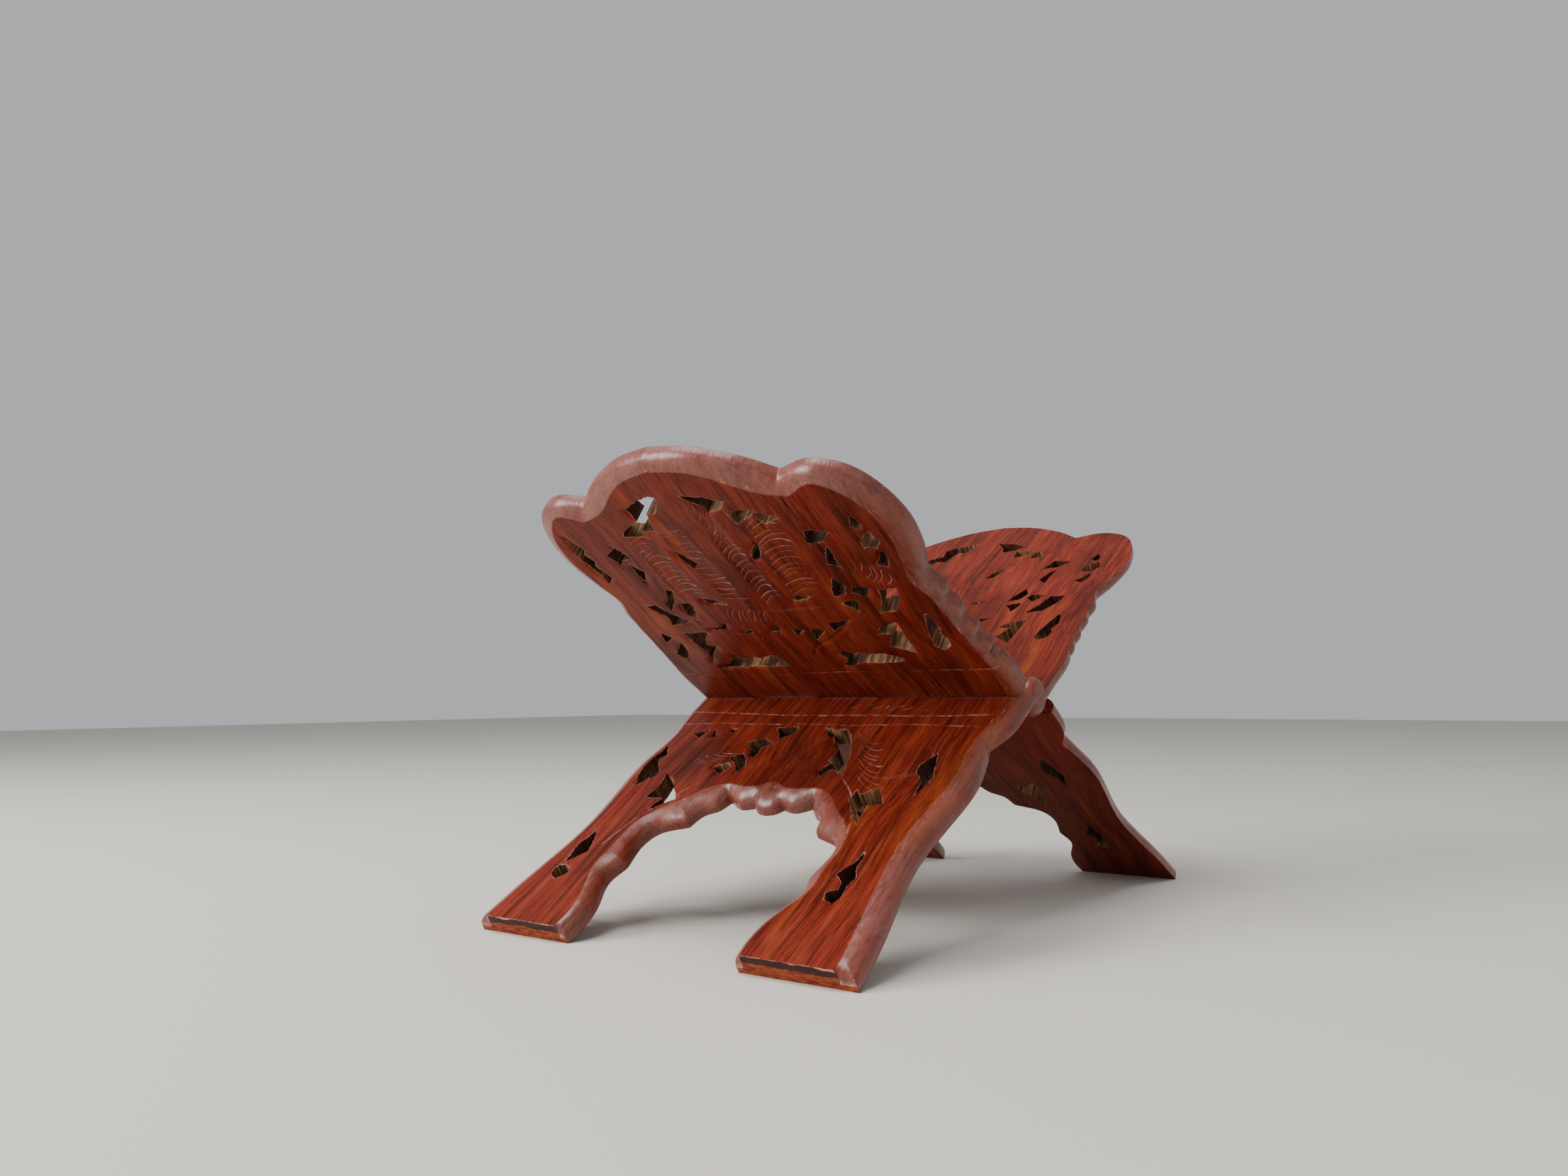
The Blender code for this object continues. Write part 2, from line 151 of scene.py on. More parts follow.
# Openings sawn through the flap, as (s, d)
FLAP_OPENINGS = [
    # the toothed leaf edges under the arch
    [(-28.6, 163), (-22.9, 165.7), (-11.4, 168.6), (-7.7, 168.1), (-10, 163.5), (-14.6, 158.3),
     (-18.6, 159.2), (-20.3, 155.7), (-22.9, 148.3), (-29.3, 149.2), (-32.1, 144), (-42.9, 146.9),
     (-39.5, 150), (-27.5, 155.5)],
    [(5.4, 166.7), (15.7, 165), (24.9, 160.3), (20.6, 156.4), (12.5, 154.8), (11.4, 159.6)],
    [(21.5, 155), (36, 153.4), (31.8, 150.2), (22.9, 146.4)],
    [(33.2, 149.4), (37, 152.2), (43.6, 147.2), (35, 143.6)],
    # slots along the two side lobes
    [(-78.3, 151), (-76.6, 145), (-73.9, 140), (-76, 137), (-73.1, 132), (-77, 127.5),
     (-75.5, 123), (-73.6, 118.5), (-77.5, 115.5), (-80, 127), (-80.7, 138)],
    [(76, 143.3), (73, 137.5), (76.5, 135), (78, 138)],
    [(79.3, 133.6), (72.5, 129), (72, 123.8), (77.1, 122.9), (81.8, 127)],
    [(78.8, 121.3), (72.2, 112.6), (77.1, 110.8), (79.3, 118)],
    # a square and its tail on each side
    [(-63, 135.3), (-55, 139.4), (-50.5, 131.8), (-56, 131), (-60, 127.5), (-61, 131)],
    [(-54.3, 127.9), (-50.7, 121), (-55, 113.9), (-55.6, 121)],
    [(51.1, 138.6), (62.1, 136.4), (58.5, 133), (55.5, 130.4), (47.9, 129.8)],
    [(56.9, 128.2), (53.5, 124), (50.2, 116.6), (54.9, 112.6), (55.2, 119)],
    # slits in the middle of the leaf
    [(-23.6, 132.9), (-18.6, 126), (-16.6, 122.8), (-20, 120.9), (-22.6, 127)],
    [(22.9, 132.9), (17.5, 128.5), (15, 122.4), (19.3, 123), (22, 128)],
    [(-32.1, 97.3), (-20.3, 95.7), (-20, 93.3), (-30.7, 94.3)],
    [(17.1, 92.3), (21.4, 95.9), (29.3, 95.7), (22.9, 92.7)],
    # the stalk's side leaves
    [(-47.9, 107.9), (-44, 106.1), (-50, 97.6), (-55.7, 91.4), (-57, 95.5), (-51.4, 100.5)],
    [(-69.3, 95.7), (-63, 96.6), (-60.2, 92), (-57, 86.4), (-52.1, 81.4), (-64, 79.8), (-62, 86)],
    [(-48.6, 95), (-41.6, 95.7), (-43.5, 89), (-45.7, 82.9), (-48.9, 88)],
    [(46.9, 107.1), (49.7, 101), (46.8, 95.4), (40.3, 94), (42, 99)],
    [(52.5, 100), (60.7, 98.6), (55.7, 92.3), (51, 96.4)],
    [(41, 89.2), (49.2, 91.6), (50, 88.5), (46.4, 81.6), (45, 86)],
    [(64.3, 97.1), (72.6, 97), (71.4, 90.7), (65.5, 82.1), (56, 80.3), (61.6, 88.5)],
    # the zigzag row under the leaf
    [(-43.5, 74.4), (-32.5, 77.8), (-33.5, 73.8)],
    [(-25, 71.2), (-19.5, 73.8), (-19.8, 70.6)],
    [(-11.5, 71), (-3.6, 74), (-4.2, 69.8)],
    [(2.9, 73), (10, 70.6), (4, 66.9)],
    [(12.6, 62.8), (12.4, 69), (14.2, 70.9), (20.7, 70)],
    [(25.7, 75.8), (38.2, 76.4), (33, 73), (26, 69.6)],
    # commas and toothed triangles at the sides
    [(-76.4, 75.3), (-72.9, 69), (-79.6, 65.2)],
    [(-71.1, 63.6), (-71, 57), (-75, 50.6), (-78.3, 52.5), (-79.3, 56), (-75.7, 60)],
    [(76.9, 78.6), (73.6, 68), (71.6, 60), (70.3, 55), (74.3, 52.1), (78.2, 54.5), (79.2, 59.3),
     (77.4, 62.5), (79.6, 68.5)],
    [(-62.9, 72.9), (-48, 71), (-53, 66.5), (-55, 62.5), (-50.8, 59.6), (-56.4, 54), (-61.4, 47.6),
     (-59.3, 57)],
    [(47.2, 65.8), (50, 70), (60, 72.9), (59.4, 61), (58.6, 50.2), (48.8, 56.6), (54.3, 65.2)],
    # the long pair above the scribed line
    [(-60.7, 41.4), (-16.4, 43), (-19, 52.4), (-26, 51), (-28, 49.5), (-34.5, 51.5), (-37, 49),
     (-45, 51.8), (-50, 46.5)],
    [(15, 40.8), (20.5, 47), (17, 50.8), (22.1, 52.8), (41, 50.2), (50, 46.2), (49, 43.6),
     (24.3, 43.4), (19.3, 40.7)],
]

# Openings sawn through the leg, as (s, distance below the axis)
LEG_OPENINGS = [
    # side slots
    [(-84, 57), (-79, 66), (-81.5, 70), (-73.5, 79), (-75, 86), (-77.5, 83), (-80, 92), (-84, 85), (-87, 75)],
    [(72, 57), (75.5, 66), (77.5, 75), (74.5, 88.5), (74, 78), (68.5, 71), (68, 67)],
    # under the leaf lobes
    [(-67, 80.5), (-60, 85), (-55, 90.5), (-48.5, 98.5), (-52.5, 102), (-58.5, 108), (-57.5, 103),
     (-55.6, 99.3), (-66.5, 99.5), (-65, 90)],
    [(46, 85), (49, 89), (57, 83.5), (62.5, 93), (56, 95.5), (58, 108), (52, 100.5), (45.6, 92)],
    # the chain between the lobes, left in four and right in one
    [(-25, 41), (-12.5, 39.6), (-12.5, 46), (-19, 50), (-21, 46)],
    [(-35.5, 53.5), (-27, 49.5), (-19.5, 54), (-24.5, 57), (-25, 64), (-29, 63), (-30, 58)],
    [(-38, 66), (-33, 61.5), (-28.5, 65.4), (-24.5, 72), (-28, 76.5), (-31, 71)],
    [(-43, 73.5), (-36, 70), (-32, 72.5), (-36.5, 78.5), (-40, 76)],
    [(3, 39.8), (9, 41), (15, 40), (20, 45), (25.5, 54), (29, 62), (33, 76), (25.5, 72), (20, 76),
     (18, 73), (23, 67.5), (19, 65), (20, 56), (15, 52.5), (12, 46.5), (8, 46)],
    # small cuts under the second scribed line
    [(-75, 47.5), (-66.5, 43), (-69, 50)],
    [(-63, 43), (-60, 47.8), (-63.5, 48.5)],
    [(-54.5, 40.8), (-50, 41.8), (-52, 45)],
    # teardrops and commas down the feet
    [(-78.5, 124), (-73, 131), (-71, 139.5), (-76, 144), (-79.5, 147), (-79.5, 135)],
    [(-80, 149.5), (-76, 148.6), (-70, 152.5), (-70, 156), (-74, 158.5), (-78.5, 157), (-80, 153)],
    [(71, 124), (72.5, 134), (74.5, 138), (73, 143), (74.5, 150), (72, 153.5), (67.5, 152),
     (66.5, 148.5), (71, 146), (70, 142), (65.5, 138), (69, 132)],
]

# Rows of carved vein strokes: how many, the first and the last stroke's middle, how long a
# stroke is, its angle to the hinge in degrees and how far it bows
FLAP_STROKES = [
    (13, (-36, 142), (-34, 101), 15, 4, 2.2),
    (15, (-16, 147), (-12, 94), 13, -3, -0.8),
    (7, (6, 165), (8, 143), 13, 52, -2.4),
    (13, (8, 139), (8, 95), 13, 24, 2.0),
    (14, (34, 146), (28, 98), 19, 13, 2.4),
    (8, (-24, 86), (-4, 83), 10, 66, 1.2),
    (7, (4, 86), (28, 87), 9, -20, 1.4),
    (6, (60, 114), (72, 104), 11, 58, -2.0),
    (5, (-66, 110), (-60, 104), 8, 130, 1.6),
    (3, (55, 101), (68, 104), 14, 12, 2.0),
]
LEG_STROKES = [
    (9, (32, 47), (50, 80), 20, 24, 3.0),
    (5, (26, 44), (40, 60), 12, 42, 1.5),
    (6, (-20, 55), (-8, 66), 17, 48, -2.0),
    (5, (60, 44), (74, 62), 10, 62, 1.6),
    (4, (54, 76), (66, 74), 14, -28, 1.0),
    (5, (-40, 62), (-54, 70), 12, 8, 1.4),
    (8, (10, 22), (52, 24), 6, -38, 0.6),
]

# Wide shallow grooves: the points they run through, their width and their depth
FLAP_GROOVES = [
    ([(-44, 75.5), (-32, 72.6), (-20, 68), (-10, 59.5), (-2.5, 50)], 2.6, 0.7),
    ([(41, 79), (31, 70.5), (20, 63), (9, 57.5), (2.5, 48.5)], 2.4, 0.7),
    ([(-57, 144), (-50, 130)], 1.6, 0.5),
    ([(-93, 36.6), (-30, 36.2), (30, 36.8), (93, 36.5)], 0.9, 0.35),
]
LEG_GROOVES = [
    ([(-90, 27.2), (-50, 28.6), (-20, 30), (10, 29.4), (50, 29.6), (86, 28.2)], 1.5, 0.45),
    ([(-90, 38.6), (-60, 37.4), (-36, 38), (-10, 37.4), (24, 37.6), (52, 36.6), (84, 37.6)], 1.1, 0.35),
    ([(-77.5, 84), (-76, 98), (-75, 122)], 5.0, 1.1),
    ([(-44, 86), (-52, 100), (-60, 113), (-66, 134)], 1.4, 0.4),
    ([(34, 78), (44, 88), (53, 104), (57, 114)], 1.4, 0.4),
]

# Broad hollows between the leaf's veins: the points they run through, their width, their share of depth
FLAP_HOLLOWS = [
    ([(-36, 146), (-35, 120), (-33, 98)], 17, 1),
    ([(-16, 150), (-14, 120), (-11, 92)], 15, 1),
    ([(8, 160), (8, 120), (7, 92)], 15, 1),
    ([(34, 150), (31, 120), (27, 94)], 18, 1),
    ([(62, 116), (66, 108), (72, 102)], 12, 1),
]
LEG_HOLLOWS = [
    ([(30, 44), (40, 62), (50, 82)], 20, 1),
    ([(-22, 52), (-14, 62), (-6, 70)], 16, 1),
    ([(60, 42), (67, 54), (74, 66)], 12, 1),
]


def smooth_through(points, steps):
    """Catmull-Rom curve: on each span the cubic whose slopes are half the chord of its neighbours."""
    rows = np.array(points, float)
    if len(rows) == 2:
        return rows
    padded = np.vstack((2 * rows[0] - rows[1], rows, 2 * rows[-1] - rows[-2]))
    a, b, c, d = padded[:-3, None], padded[1:-2, None], padded[2:-1, None], padded[3:, None]
    t = np.linspace(0, 1, steps, endpoint=False)[None, :, None]
    curve = 0.5 * (2 * b + (c - a) * t + (2 * a - 5 * b + 4 * c - d) * t ** 2
                   + (3 * b - a - 3 * c + d) * t ** 3)
    return np.vstack((curve.reshape(-1, rows.shape[1]), rows[-1]))


def whole_outline(stretches):
    """The edge loop and the face loop: the right half's stretches joined, then mirrored to s < 0."""
    right = np.vstack([smooth_through(points, 8)[:-1] for points in stretches] + [stretches[-1][-1:]])
    left = right[:-1][::-1] * (-1, 1, -1, 1)
    loop = np.vstack((right, left))
    return loop[:, :2], loop[:, 2:]


def signed_distance(at, loop):
    """Distance to a closed loop's nearest side, positive inside by counting crossings."""
    nearest = np.full(len(at), np.inf)
    inside = np.zeros(len(at), bool)
    for start, end in zip(loop, np.roll(loop, -1, axis=0)):
        side = end - start
        size = side @ side
        if size < 1e-12:
            continue
        rel = at - start
        along = np.clip(rel @ side / size, 0, 1)
        gap = rel - along[:, None] * side
        nearest = np.minimum(nearest, np.einsum('ij,ij->i', gap, gap))
        if side[1]:
            crosses = (at[:, 1] >= start[1]) != (at[:, 1] >= end[1])
            inside ^= crosses & (rel[:, 0] < rel[:, 1] * side[0] / side[1])
    return np.where(inside, 1, -1) * np.sqrt(nearest)


def near(at, points, margin):
    """Which points lie in the box around a shape, grown by a margin."""
    shape = np.asarray(points, float)
    return np.flatnonzero(np.all((at > shape.min(0) - margin) & (at < shape.max(0) + margin), axis=1))


def opening_distance(at, openings, reach):
    """Distance outside the nearest opening, negative in it, and at most the reach."""
    field = np.full(len(at), reach)
    for points in openings:
        here = near(at, points, reach)
        field[here] = np.minimum(field[here], -signed_distance(at[here], np.array(points, float)))
    x, y = at.T
    uneven = np.sin(x * 1.5 + 2 * np.sin(y * 0.9)) * np.sin(y * 1.3 + 1.5 * np.sin(x * 0.7))
    return field - np.where(field < reach, SAW_WANDER * uneven, 0)


def groove(at, depth, line, width, deepest, taper):
    """V groove along a line: deepest on the line, nothing at half the width, shallower at tapered ends."""
    here = near(at, line, width)
    spot = at[here]
    best = np.zeros(len(here))
    count = len(line) - 1
    for i, (start, end) in enumerate(zip(line[:-1], line[1:])):
        side = end - start
        along = np.clip((spot - start) @ side / (side @ side), 0, 1)
        gap = np.linalg.norm(spot - start - along[:, None] * side, axis=1)
        way = (i + along) / count
        strength = np.clip(4 * np.minimum(way, 1 - way) + 0.15, 0, 1) if taper else 1.0
        best = np.maximum(best, np.clip(1 - 2 * gap / width, 0, 1) * strength)
    depth[here] = np.maximum(depth[here], best * deepest)


def veins(at, rows):
    """Each point's place in the nearest row of vein strokes, its stroke spacing, and its share in it.

    A row leads from its first stroke to its last one. The place counts strokes along the row, so a
    stroke lies at each whole number; bows bend the strokes. The share falls to 0 at the strokes' tips.
    """
    place_in_row, spacing, share = np.zeros((3, len(at)))
    for count, first, last, size, angle, bow in rows:
        run = np.subtract(last, first)
        across = np.array((cos(radians(angle)), sin(radians(angle))))
        solve = np.linalg.inv(np.column_stack((run, size * across))).T
        _, reach = ((at - first) @ solve).T
        bend = bow * (1 - 4 * np.clip(reach, -0.5, 0.5) ** 2)
        way, reach = ((at - first - bend[:, None] * (-across[1], across[0])) @ solve).T
        steps = way * (count - 1)
        steps = steps + 0.18 * np.sin(steps * 2.1 + reach * 3) + 0.1 * np.sin(steps * 5.3)
        ragged = 0.5 + 0.06 * np.sin(np.round(steps) * 4.7 + count)
        here = np.clip(5 * (ragged - np.abs(reach)), 0, 1) * (np.abs(steps - (count - 1) / 2) < count / 2)
        better = here > share
        place_in_row = np.where(better, steps, place_in_row)
        spacing = np.where(better, np.linalg.norm(run) / (count - 1), spacing)
        share = np.maximum(share, here)
    return place_in_row, spacing, share


def carving(at, part, sizes):
    """Depth of all the carving, the pale share of its grooves, and the place in the rows of strokes.

    Hollows are broad and keep their stain.
    """
    steps, spacing, share = veins(at, part["strokes"])
    gap = np.abs(steps - np.round(steps)) * spacing
    depth = sizes.stroke_depth * share * np.clip(1 - 2 * gap / sizes.stroke_width, 0, 1)
    cuts = np.zeros(len(at))
    pale = np.zeros(len(at))
    for points, width, deepest in part["grooves"]:
        cut = np.zeros(len(at))
        groove(at, cut, smooth_through(points, 6), width, 1, len(points) < 4 or width > 1.6)
        cuts = np.maximum(cuts, cut * deepest)
        pale = np.maximum(pale, cut * min(1, 1.6 / width) ** 2)
    hollows = np.zeros(len(at))
    for points, width, share_of_depth in part["hollows"]:
        groove(at, hollows, smooth_through(points, 6), width, share_of_depth, True)
    hollows = sizes.hollow_depth * hollows ** 2 * (3 - 2 * hollows)
    return depth + cuts + hollows, pale, steps, share


def clip_grid(at, shape, field, fields, snap):
    """Triangles of a grid where the field is positive, cut along its zero line.

    Points near the line move onto it. A triangle with one or two corners outside is cut where
    the field, taken as straight along each side, is zero; every other value is read there too.
    """
    rows, columns = shape
    slope = np.stack(np.gradient(field.reshape(shape), snap * 4), axis=-1).reshape(-1, 2)[:, ::-1]
    size = np.maximum(np.einsum('ij,ij->i', slope, slope), 0.25)
    close = np.abs(field) < snap
    at = at - np.where(close, field / size, 0)[:, None] * slope
    field = np.where(close, 0, field)
    index = np.arange(rows * columns).reshape(shape)
    a, b, c, d = (index[:-1, :-1], index[:-1, 1:], index[1:, 1:], index[1:, :-1])
    even = ((np.arange(rows - 1)[:, None] + np.arange(columns - 1)[None, :]) % 2 == 0).ravel()
    a, b, c, d = (corner.ravel() for corner in (a, b, c, d))
    first = np.where(even[:, None], np.column_stack((a, b, c)), np.column_stack((a, b, d)))
    second = np.where(even[:, None], np.column_stack((a, c, d)), np.column_stack((b, c, d)))
    triangles = np.vstack((first, second))
    solid = field >= 0
    count = solid[triangles].sum(1)
    whole = triangles[count == 3]

    def turned(chosen, wanted):
        """The chosen triangles turned so that the odd corner comes first."""
        odd = np.argmax(solid[chosen] == wanted, axis=1)
        return np.take_along_axis(chosen, (odd[:, None] + np.arange(3)) % 3, axis=1)

    one = turned(triangles[count == 1], True)
    two = turned(triangles[count == 2], False)
    pairs = np.vstack((one[:, [0, 1]], one[:, [0, 2]], two[:, [1, 0]], two[:, [2, 0]]))
    keys, where = np.unique(pairs[:, 0] * len(at) + pairs[:, 1], return_inverse=True)
    inner, outer = keys // len(at), keys % len(at)
    share = field[inner] / (field[inner] - field[outer])
    added = at[inner] + (at[outer] - at[inner]) * share[:, None]
    values = [np.concatenate((v, v[inner] + (v[outer] - v[inner]) * share)) for v in fields]
    new = np.where(field[inner] == 0, inner, len(at) + np.arange(len(keys)))[where.ravel()]
    n1, n2 = len(one), len(two)
    p, q, r, s = np.split(new, np.cumsum((n1, n1, n2)))
    cut = np.vstack((
        np.column_stack((one[:, 0], p, q)),
        np.column_stack((two[:, 1], two[:, 2], s)),
        np.column_stack((two[:, 1], s, r)),
    ))
    faces = np.vstack((whole, cut))
    faces = faces[(faces[:, 0] != faces[:, 1]) & (faces[:, 1] != faces[:, 2]) & (faces[:, 2] != faces[:, 0])]
    used, faces = np.unique(faces, return_inverse=True)
    points = np.vstack((at, added))[used]
    return points, faces.reshape(-1, 3), [v[used] for v in values]


def border_of(faces, count):
    """Sides that only one triangle has, in that triangle's direction."""
    sides = np.vstack((faces[:, [0, 1]], faces[:, [1, 2]], faces[:, [2, 0]]))
    key = np.sort(sides, axis=1) @ (count, 1)
    _, first, times = np.unique(key, return_index=True, return_counts=True)
    return sides[first[times == 1]]


def inside_border(spots, starts, ends):
    """Which spots have an odd number of border sides to their right."""
    inside = []
    rise = np.where(ends[:, 1] == starts[:, 1], np.inf, ends[:, 1] - starts[:, 1])
    for group in np.array_split(spots, max(1, len(spots) // 400)):
        x, y = group[:, :1], group[:, 1:]
        crosses = (y >= starts[:, 1]) != (y >= ends[:, 1])
        meets = starts[:, 0] + (y - starts[:, 1]) * (ends[:, 0] - starts[:, 0]) / rise
        inside.append((crosses & (x < meets)).sum(1) % 2 == 1)
    return np.concatenate(inside)


def flat_fill(points, border):
    """Triangles over the flat sawn side: a constrained fill of the border, less its openings."""
    ends, local = np.unique(border, return_inverse=True)
    outline = [Vector(p) for p in points[ends].tolist()]
    verts, _, faces, origin, _, _ = delaunay_2d_cdt(outline, local.reshape(-1, 2).tolist(), [], 1, 1e-6)
    flat = np.array([tuple(v) for v in verts])
    faces = np.array(faces)
    faces = faces[inside_border(flat[faces].mean(1), points[border[:, 0]], points[border[:, 1]])]
    return ends[np.array([ids[0] for ids in origin])[faces]]


def write_mesh(name, points, faces, materials, face_material, attributes, sharp):
    """A smooth-shaded mesh object at the origin from arrays, with its values kept per point."""
    mesh = bpy.data.meshes.new(name)
    mesh.vertices.add(len(points))
    mesh.vertices.foreach_set("co", (points * MM).astype(np.float32).ravel())
    mesh.loops.add(faces.size)
    mesh.polygons.add(len(faces))
    mesh.loops.foreach_set("vertex_index", faces.astype(np.int32).ravel())
    mesh.polygons.foreach_set("loop_start", np.arange(0, faces.size, 3, dtype=np.int32))
    mesh.polygons.foreach_set("material_index", face_material.astype(np.int32))
    for key, values in attributes.items():
        kind, slot = ('FLOAT_VECTOR', "vector") if values.ndim == 2 else ('FLOAT', "value")
        mesh.attributes.new(key, kind, 'POINT').data.foreach_set(slot, values.astype(np.float32).ravel())
    mesh.update(calc_edges=True)
    mesh.shade_smooth()
    mesh.set_sharp_from_angle(angle=radians(sharp))
    for material in materials:
        mesh.materials.append(material)
    obj = bpy.data.objects.new(name, mesh)
    bpy.context.scene.collection.objects.link(obj)
    return obj


def place(plank, side):
    """World place of plank points (s, d, depth): the plank turned about the hinge axis by its slope."""
    s, d, depth = plank.T
    return np.column_stack((s, side * (cos(SLOPE) * d + sin(SLOPE) * depth),
                            AXIS_HEIGHT + sin(SLOPE) * d - cos(SLOPE) * depth))


def knuckle_spans():
    """Starts and ends of the hinge's knuckles, from the width, their count and their gap."""
    edges = np.linspace(-HALF_WIDTH, HALF_WIDTH, KNUCKLE_COUNT + 1)
    gaps = np.full(KNUCKLE_COUNT + 1, KNUCKLE_GAP / 2)
    gaps[[0, -1]] = 0
    return np.column_stack((edges[:-1] + gaps[:-1], edges[1:] - gaps[1:]))


def board_fields(part, sizes):
    """The grid over one kind of board and, on it, the distances and carving that shape it."""
    edge, face = whole_outline(part["edge"])
    low = np.array((edge[:, 0].min() - 1.5, 0.0))
    high = edge.max(0) + 1.5
    across = np.arange(low[0], high[0], sizes.grid)
    along = np.arange(low[1], high[1], sizes.grid)
    at = np.stack(np.meshgrid(across, along), axis=-1).reshape(-1, 2)
    edge, face = (np.vstack((loop, loop[-1:] * (1, 0) - (0, 5), loop[:1] * (1, 0) - (0, 5)))
                  for loop in (edge, face))
    carved, cut, vein, veined = carving(at, part, sizes)
    return {
        "at": at,
        "shape": (len(along), len(across)),
        "edge": signed_distance(at, edge),
        "face": signed_distance(at, face),
        "opening": opening_distance(at, part["openings"], 4.0),
        "carved": carved,
        "cut": cut,
        "vein": vein,
        "veined": veined,
    }


def window_distance(at, own):
    """Distance outside the windows that a leaf leaves for the other leaf's knuckles."""
    field = np.full(len(at), 4.0)
    spans = knuckle_spans()
    for index in set(range(KNUCKLE_COUNT)) - set(own):
        left = spans[index - 1][1] if index else -2 * HALF_WIDTH
        right = spans[index + 1][0] if index < KNUCKLE_COUNT - 1 else 2 * HALF_WIDTH
        beyond = np.column_stack((left - at[:, 0], at[:, 0] - right, at[:, 1] - STOP))
        outside = np.linalg.norm(np.maximum(beyond, 0), axis=1)
        field = np.minimum(field, outside + np.minimum(beyond.max(1), 0))
    return field


def make_board(name, fields, own, up, side, sizes, materials):
    """One carved board, closed: the outer face, the walls of its edges and openings, the sawn side.

    The outer face's depth is the board's, less a quarter ellipse between the edge loop and the
    face loop, less the carving. up is 1 for a flap and -1 for a leg.
    """
    solid = np.minimum.reduce((fields["edge"], fields["opening"], window_distance(fields["at"], own)))
    values = [fields[key] for key in ("edge", "face", "opening", "carved", "cut", "vein", "veined")]
    flat, faces, values = clip_grid(fields["at"], fields["shape"], solid, values, sizes.grid / 4)
    edge, face, opening, carved, cut, vein, veined = values
    inset = np.maximum(edge, 0) / (np.maximum(edge, 0) + np.maximum(-face, 0) + 1e-9)
    inset = np.where(face > -0.2, 1, inset)
    foot_end = np.abs(flat[:, 1] - FOOT_END) * (up < 0) + 9 * (up > 0)
    level = np.sqrt(1 - (EDGE_CREASE + (1 - EDGE_CREASE) * (1 - inset)) ** 2)
    drop = sizes.edge_depth * (1 - level / sqrt(1 - EDGE_CREASE ** 2))
    wave = np.sin(flat[:, 0] / 9 + 1.3 * np.sin(flat[:, 1] / 31)) * np.sin(flat[:, 1] / 23 + flat[:, 0] / 60)
    x, y = flat.T
    chipped = np.clip(0.35 + 0.9 * np.sin(x / 5 + 1.7 * np.sin(y / 7)) * np.sin(y / 6 + x / 11), 0.1, 1)
    chips = CHIP_DEPTH * chipped * np.exp(-np.maximum(opening, 0) / CHIP_REACH)
    depth = BOARD - drop - carved - chips - sizes.sawn_wave * (0.5 + 0.5 * wave)
    border = border_of(faces, len(flat))
    used = np.unique(border)
    lower = np.zeros(len(flat), int)
    lower[used] = len(flat) + np.arange(len(used))
    sawn_side = flat_fill(flat, border)
    a, b = border.T
    walls = np.vstack((np.column_stack((a, lower[a], lower[b])), np.column_stack((a, lower[b], b))))
    bare = (opening[a] < 0.35) & (opening[b] < 0.35)
    points = np.vstack((np.column_stack((flat, depth)),
                        np.column_stack((flat[used], np.full(len(used), SAW_CUT / 2)))))
    all_faces = np.vstack((faces, walls, lower[sawn_side][:, ::-1]))
    wall_kind = np.where((foot_end[a] < 0.05) & (foot_end[b] < 0.05), 2, bare.astype(int))
    kind = np.concatenate((np.zeros(len(faces)), wall_kind, wall_kind, np.zeros(len(sawn_side))))
    plain = np.zeros(len(used))
    attributes = {
        "plank": points * (1, up, up),
        # the share of the rounded edge, where the material lays its wear and its painted sheen
        "wear_and_sheen": np.concatenate((1 - inset, plain)),
        "cut": np.concatenate((cut, plain)),
        "vein": np.concatenate((vein, plain)),
        "veined": np.concatenate((veined, plain)),
        "rim": np.concatenate((np.exp(-np.maximum(np.minimum(opening, foot_end), 0) / 0.45), plain)),
    }
    if side > 0:
        all_faces = all_faces[:, ::-1]
    return write_mesh(name, place(attributes["plank"], side), all_faces, materials, kind, attributes, 42)


